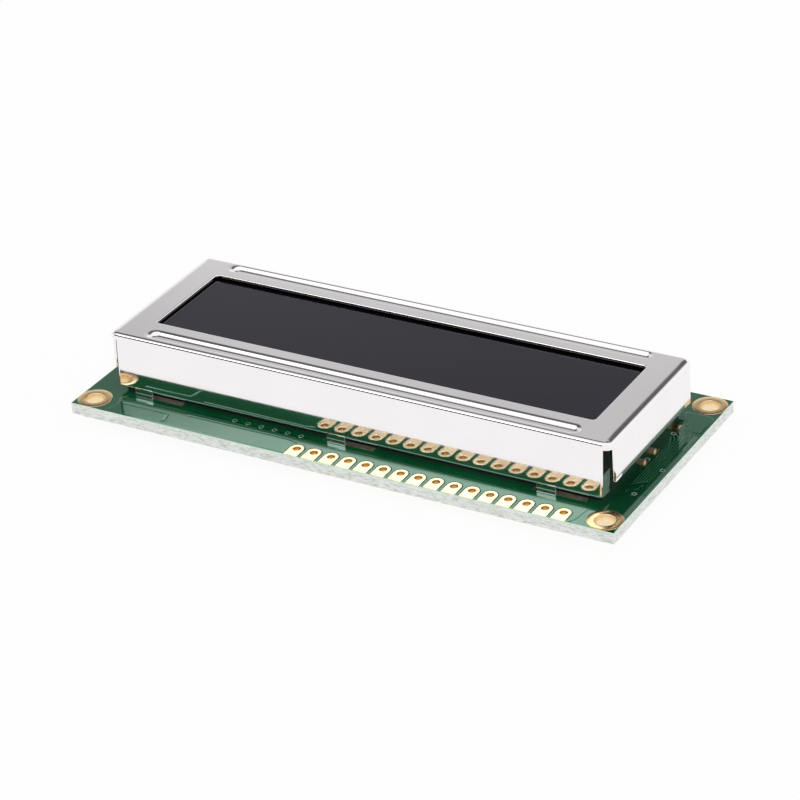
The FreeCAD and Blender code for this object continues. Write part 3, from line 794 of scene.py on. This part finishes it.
def pad_piece(number, gold):
    """A plated pin hole with a land on both faces; the lands' edges and the hole's mouth are rounded."""
    centre_x = pin_x(number)
    bm = bmesh.new()
    ends = []
    for face, side in ((BOARD_TOP, 1), (0.0, -1)):
        rims = []
        for inward, rise in ((0.0, 0.0), (0.0, 0.030), (0.010, 0.044), (0.03, LAND_RISE), (0.06, LAND_RISE)):
            half = PIN_LAND_HALF - inward
            outline = ([(centre_x - half, BOARD_Y - inward), (centre_x - half, PIN_LAND_END)]
                       + arc(centre_x, PIN_Y, half, 180, 360, 28)
                       + [(centre_x + half, PIN_LAND_END), (centre_x + half, BOARD_Y - inward)])
            rims.append(ring_of(bm, outline, face + side * rise))
        join_rings(bm, rims)
        mouths = []
        for reach, rise in ((0.10, LAND_RISE), (0.06, LAND_RISE), (0.03, 0.044), (0.008, 0.024), (0.0, -0.01)):
            circle = arc(centre_x, PIN_Y, PIN_HOLE + reach, 0, 360, 40)[:-1]
            mouths.append(ring_of(bm, circle, face + side * rise))
        fill_between(bm, [rims[-1], mouths[0]])
        join_rings(bm, mouths)
        ends.append(mouths[-1])
    join_rings(bm, ends)
    bmesh.ops.recalc_face_normals(bm, faces=bm.faces)
    item = finish_mesh("plated_hole_%02d" % number, bm, gold)
    carried(item, "header_pad_%02d" % number)


def ring_piece(number, centre_x, centre_y, land, barrel):
    """A plated mounting hole with a round land on both faces, clipped where the board ends."""
    bm = bmesh.new()
    points = []
    for x, y in arc(centre_x, centre_y, RING_LAND, 0, 360, 72)[:-1]:
        points.append((max(-BOARD_X, min(BOARD_X, x)), max(-BOARD_Y, min(BOARD_Y, y))))
    ends = []
    for face, side in ((BOARD_TOP, 1), (0.0, -1)):
        rings = [ring_of(bm, points, face)]
        for share, rise in ((0.995, 0.038), (0.985, LAND_RISE), (0.75, LAND_RISE), (0.68, LAND_RISE)):
            inner = [(centre_x + (x - centre_x) * share, centre_y + (y - centre_y) * share) for x, y in points]
            rings.append(ring_of(bm, inner, face + side * rise))
        for reach, rise in ((1.42, LAND_RISE), (1.36, 0.04), (1.31, 0.0), (RING_HOLE, -0.05)):
            rings.append(ring_of(bm, arc(centre_x, centre_y, reach, 0, 360, 72)[:-1], face + side * rise))
        join_rings(bm, rings[:-2])
        join_rings(bm, rings[-3:], material_index=1)
        ends.append(rings[-1])
    join_rings(bm, ends, material_index=1)
    bmesh.ops.recalc_face_normals(bm, faces=bm.faces)
    item = finish_mesh("plated_ring_%d" % number, bm, land, barrel)
    flatten_shading(item)
    carried(item, "mounting_ring_%d" % number)


# Copper under the mask: thin raised shapes that show through the lacquer

def inset(points, distance):
    """An outline moved to its left by a distance, with its corners kept."""
    result = []
    for index, (x, y) in enumerate(points):
        before = points[index - 1]
        after = points[(index + 1) % len(points)]
        first = math.hypot(x - before[0], y - before[1])
        second = math.hypot(after[0] - x, after[1] - y)
        ax, ay = -(y - before[1]) / first, (x - before[0]) / first
        bx, by = -(after[1] - y) / second, (after[0] - x) / second
        share = distance / max(0.4, 1 + ax * bx + ay * by)
        result.append((x + (ax + bx) * share, y + (ay + by) * share))
    return result


def relief(name, outline, openings, mask, height=0.034, soft=0.16):
    """A thin plate on the board with openings (clockwise), all its edges softened."""
    bm = bmesh.new()
    rims = []
    for points in [outline] + openings:
        rings = []
        for share, rise in ((0.0, 0.0), (0.22, 0.10), (0.5, 0.5), (0.78, 0.90), (1.0, 1.0), (1.15, 1.0)):
            rings.append(ring_of(bm, inset(points, share * soft), BOARD_TOP + height * rise))
        join_rings(bm, rings)
        rims.append(rings[-1])
    fill_between(bm, rims)
    for face in bm.faces:
        face.normal_update()
        if face.normal.z < 0:
            face.normal_flip()
    carried(finish_mesh(name, bm, mask))


def ribbon(points, width):
    """The outline of a trace of even width along a path, anticlockwise."""
    left, right = [], []
    for index, (x, y) in enumerate(points):
        before = points[max(0, index - 1)]
        after = points[min(len(points) - 1, index + 1)]
        run_x, run_y = after[0] - before[0], after[1] - before[1]
        reach = math.hypot(run_x, run_y)
        across_x, across_y = run_y / reach * width / 2, run_x / reach * width / 2
        left.append((x - across_x, y + across_y))
        right.append((x + across_x, y - across_y))
    return right + left[::-1]


def front_copper(mask):
    """The wide copper area beside the pin holes, with room round every land."""
    edge = BOARD_Y - 0.10
    bite_radius = 0.995
    body = [(-34.6, 14.0), (-33.9, 13.2), (-33.4, 12.95), (-25.6, 12.95), (-25.2, 13.2), (-4.0, 13.2),
            (-3.4, 12.95), (4.4, 12.95), (4.9, 13.2), (25.2, 13.2), (25.6, 12.95), (33.2, 12.95), (33.9, 13.2),
            (34.6, 14.0), (34.2, 14.7), (34.0, 15.5), (34.2, 16.4), (34.75, edge)]
    for number in range(PIN_COUNT, 0, -1):
        bite = arc(pin_x(number), PIN_Y, bite_radius, 360, 180, 20)
        high, low = bite[0][0], bite[-1][0]
        body += [(high, edge), (high, PIN_LAND_END)] + bite + [(low, PIN_LAND_END), (low, edge)]
    body += [(-33.75, edge), (-34.2, 16.8)]
    openings = [arc(x, VIA_Y, 0.50, 360, 0, 20)[:-1] for x in VIA_PLACES]
    # fine gaps in the copper
    openings.append(ribbon([(33.1, 15.07), (29.86, 15.08), (27.74, 15.13), (26.3, 15.15), (26.15, 15.3),
                            (25.9, 16.2), (25.86, 17.1)], 0.10)[::-1])
    openings.append(ribbon([(23.5, 14.45), (8.3, 14.35), (8.0, 14.4), (6.8, 14.7)], 0.08)[::-1])
    relief("copper_beside_pins", body, openings, mask)


def via_piece(name, x, y, rim, dark):
    """A small plated hole: a raised collar round a dark centre disc, which is painted shade where the hole
    goes down.
    """
    bm = bmesh.new()
    rings = []
    for reach, rise in ((0.37, 0.0), (0.355, 0.025), (0.33, 0.042), (0.295, 0.048), (0.26, 0.042),
                        (0.235, 0.022), (0.22, 0.003)):
        rings.append(ring_of(bm, arc(x, y, reach, 0, 360, 24)[:-1], BOARD_TOP + rise))
    join_rings(bm, rings)
    # painted shade: the centre disc takes the black finish for the shade down the hole
    centre = bm.faces.new(rings[-1])
    centre.material_index = 1
    bmesh.ops.recalc_face_normals(bm, faces=bm.faces)
    carried(finish_mesh(name, bm, rim, dark))


def end_traces(mask, rim, dark):
    """Traces beside the end with the leads: a bundle of long runs, and short stubs from under the bezel."""
    for number in range(6):
        x = -36.75 - 0.34 * number
        low = 6.3 - 0.25 * number
        path = [(-36.0 - 0.15 * number, low + 0.8), (x + 0.1, low), (x, low - 0.8), (x, -4.6 - 0.35 * number),
                (x + 0.25, -5.4 - 0.45 * number), (-36.0, -6.6 - 0.5 * number)]
        relief("end_trace_%d" % (number + 1), ribbon(path, 0.17), [], mask, 0.03, 0.06)
    stubs = ((-37.2, 7.6, 1.5), (-36.4, 8.5, 1.0), (-37.6, 9.0, 0.8), (-36.3, 3.4, 0.9), (-36.35, -3.2, 0.8),
             (-36.4, -9.4, 1.2), (-37.0, -8.2, 0.9))
    for number, (x, y, length) in enumerate(stubs, start=1):
        path = [(x, y), (x - 0.45 * length, y - 0.25 * length), (x - 0.6 * length, y - length)]
        relief("end_stub_%d" % number, ribbon(path, 0.2), [], mask, 0.032, 0.07)
    places = ((-38.03, 8.44), (-38.82, 1.91), (-35.9, 0.17), (-35.95, -1.96), (-36.2, -7.0))
    for number, (x, y) in enumerate(places, start=1):
        via_piece("end_via_%d" % number, x, y, rim, dark)
    relief("end_copper", [(-37.6, -9.0), (-38.3, -8.2), (-39.45, -8.2), (-39.45, -12.5), (-38.6, -12.9),
                          (-35.4, -12.9), (-35.4, -12.0)], [], mask)
    relief("end_copper_edge", [(-38.95, 8.6), (-39.45, 8.6), (-39.45, -7.4), (-38.95, -7.4)], [], mask)


# The rear face

def dome_piece(number, centre_x, centre_y, radius, height, resin):
    """A blob of black resin, thick in the middle with a thin uneven skirt."""
    bm = bmesh.new()
    profile = ((1.0, 0.0), (0.985, 0.07), (0.95, 0.19), (0.89, 0.35), (0.80, 0.53), (0.69, 0.69), (0.56, 0.82),
               (0.42, 0.915), (0.28, 0.97), (0.14, 0.995))
    count = 64
    rings = []
    for share, rise in profile:
        points = []
        for step in range(count):
            angle = 2 * math.pi * step / count
            wobble = noise.noise(Vector((math.cos(angle) * 1.3, math.sin(angle) * 1.3, number * 7.0)))
            reach = radius * share * (1 - 0.028 * abs(wobble) * share)
            points.append((centre_x + reach * math.cos(angle), centre_y + reach * math.sin(angle)))
        rings.append(ring_of(bm, points, -height * rise))
    join_rings(bm, rings)
    tip = bm.verts.new((centre_x * MM, centre_y * MM, -height * MM))
    for step in range(count):
        bm.faces.new((rings[-1][step], rings[-1][(step + 1) % count], tip))
    bmesh.ops.contextual_create(bm, geom=rings[0])
    bmesh.ops.recalc_face_normals(bm, faces=bm.faces)
    carried(finish_mesh("resin_dome_%d" % number, bm, resin), "chip_cover_%d" % number)


def chip_piece(node_name, height, body, tin):
    """A small chip: a ceramic body between two wrapped metal ends, with solder at its feet."""
    low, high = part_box(node_name)
    middle_x = (low[0] + high[0]) / 2 / MM
    middle_y = (low[1] + high[1]) / 2 / MM
    bm = bmesh.new()

    def block(x0, x1, y0, y1, z0, z1, index):
        corners = [bm.verts.new((x * MM, y * MM, z * MM)) for z in (z0, z1)
                   for x, y in ((x0, y0), (x1, y0), (x1, y1), (x0, y1))]
        for a, b, c, d in ((0, 1, 2, 3), (7, 6, 5, 4), (0, 4, 5, 1), (1, 5, 6, 2), (2, 6, 7, 3), (3, 7, 4, 0)):
            face = bm.faces.new((corners[a], corners[b], corners[c], corners[d]))
            face.material_index = index

    block(middle_x - 0.62, middle_x + 0.62, middle_y - 0.625, middle_y + 0.625, -height, -0.02, 0)
    for side in (-1, 1):
        near, far = sorted((middle_x + side * 0.6, middle_x + side * CHIP_HALF_LENGTH))
        block(near, far, middle_y - 0.655, middle_y + 0.655, -height - 0.03, 0.0, 1)
    bmesh.ops.recalc_face_normals(bm, faces=bm.faces)
    item = finish_mesh(node_name + "_chip", bm, body, tin)
    sharp = item.modifiers.new("edges", "BEVEL")
    sharp.width = 0.06 * MM
    sharp.segments = 3
    sharp.limit_method = "ANGLE"
    carried(item, node_name)


def set_node_material(name, item):
    """Give a CAD node that stays in view its material."""
    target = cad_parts[name]
    if not target.material_slots:
        target.data.materials.append(item)
    for slot in target.material_slots:
        slot.material = item


# Everything together

set_camera()
set_world()
set_floor()
bpy.context.scene.view_settings.view_transform = "Standard"

metal = bezel_metal()
gold = gold_metal("pale_gold", (0.92, 0.71, 0.42), (0.97, 0.82, 0.56))
# a darker tone of the same gold plating, for the mounting holes' lands and the small lands
darker_gold = gold_metal("darker_gold", (0.70, 0.49, 0.25), (0.80, 0.59, 0.33))
tin = tin_metal()
mask = mask_material("green_mask", (0.0030, 0.045, 0.016), (0.005, 0.060, 0.022), (0.004, 0.072, 0.024),
                     (0.006, 0.092, 0.032))
mask_over_trace = mask_material("green_mask_over_trace", (0.004, 0.062, 0.021), (0.006, 0.078, 0.027))
# the via collars' pale grey-green is the lacquer over their copper with a painted highlight in it
rim = plastic_material("via_rim", (0.16, 0.24, 0.19), (0.34, 0.44, 0.37), 0.25)
resin = plastic_material("black_resin", (0.010, 0.010, 0.010), (0.018, 0.018, 0.019), 0.22, 1200.0)
# black plastic of the display frame; the vias' centres use it too, as painted shade in their holes
black = plastic_material("frame_black_and_hole_shade", (0.008, 0.008, 0.009), (0.014, 0.014, 0.015), 0.16)
chip_black = plastic_material("resistor_black", (0.015, 0.015, 0.017), (0.03, 0.03, 0.032), 0.35)
chip_tan = plastic_material("capacitor_tan", (0.33, 0.20, 0.11), (0.42, 0.27, 0.16), 0.45)
rubber = plastic_material("strip_rubber", (0.62, 0.55, 0.52), (0.70, 0.64, 0.60), 0.6, 1500.0)
clear = plastic_material("light_guide_clear", (0.80, 0.84, 0.82), (0.86, 0.90, 0.88), 0.08)
white = plastic_material("film_white", (0.82, 0.82, 0.80), (0.88, 0.88, 0.87), 0.5)
diode = plastic_material("diode_yellow", (0.80, 0.68, 0.20), (0.86, 0.74, 0.28), 0.25)
seal = plastic_material("seal_resin", (0.20, 0.18, 0.14), (0.26, 0.24, 0.19), 0.4)
glass = film_material("dark_glass", (0.003, 0.003, 0.0035), (0.005, 0.005, 0.006), 0.02)
screen = film_material("screen_film", (0.0012, 0.0008, 0.0090), (0.0020, 0.0012, 0.0130), 0.10)

build_bezel(metal)
screen_piece(screen)
front_copper(mask)
for number, x in enumerate(VIA_PLACES, start=1):
    # the vias' dark centres are painted shade for their holes
    via_piece("via_%d" % number, x, VIA_Y, rim, black)
end_traces(mask_over_trace, rim, black)
for number in range(1, PIN_COUNT + 1):
    pad_piece(number, gold)
for number, (sx, sy) in enumerate(((-1, -1), (1, -1), (-1, 1), (1, 1)), start=1):
    ring_piece(number, sx * RING_X, sy * RING_Y, darker_gold, gold)
dome_piece(1, -16.0, -1.5, 7.0, 1.35, resin)
dome_piece(2, 13.0, -1.5, 6.0, 1.35, resin)
for number in range(1, 8):
    chip_piece("resistor_%d" % number, 0.55, chip_black, tin)
for number in (1, 2):
    chip_piece("capacitor_%d" % number, 0.95, chip_tan, tin)

for name, item in (("circuit_board", mask), ("front_glass", glass),
                   ("rear_glass", glass), ("lcd_seal", seal), ("rear_polarizer", screen),
                   ("contact_strip_1", rubber), ("contact_strip_2", rubber), ("display_frame", black),
                   ("light_guide", clear), ("diffuser_film", white), ("backlight_board", white),
                   ("backlight_diode_1", diode), ("backlight_diode_2", diode), ("backlight_lead_1", tin),
                   ("backlight_lead_2", tin), ("backlight_land_1", darker_gold),
                   ("backlight_land_2", darker_gold), ("test_land", darker_gold)):
    set_node_material(name, item)
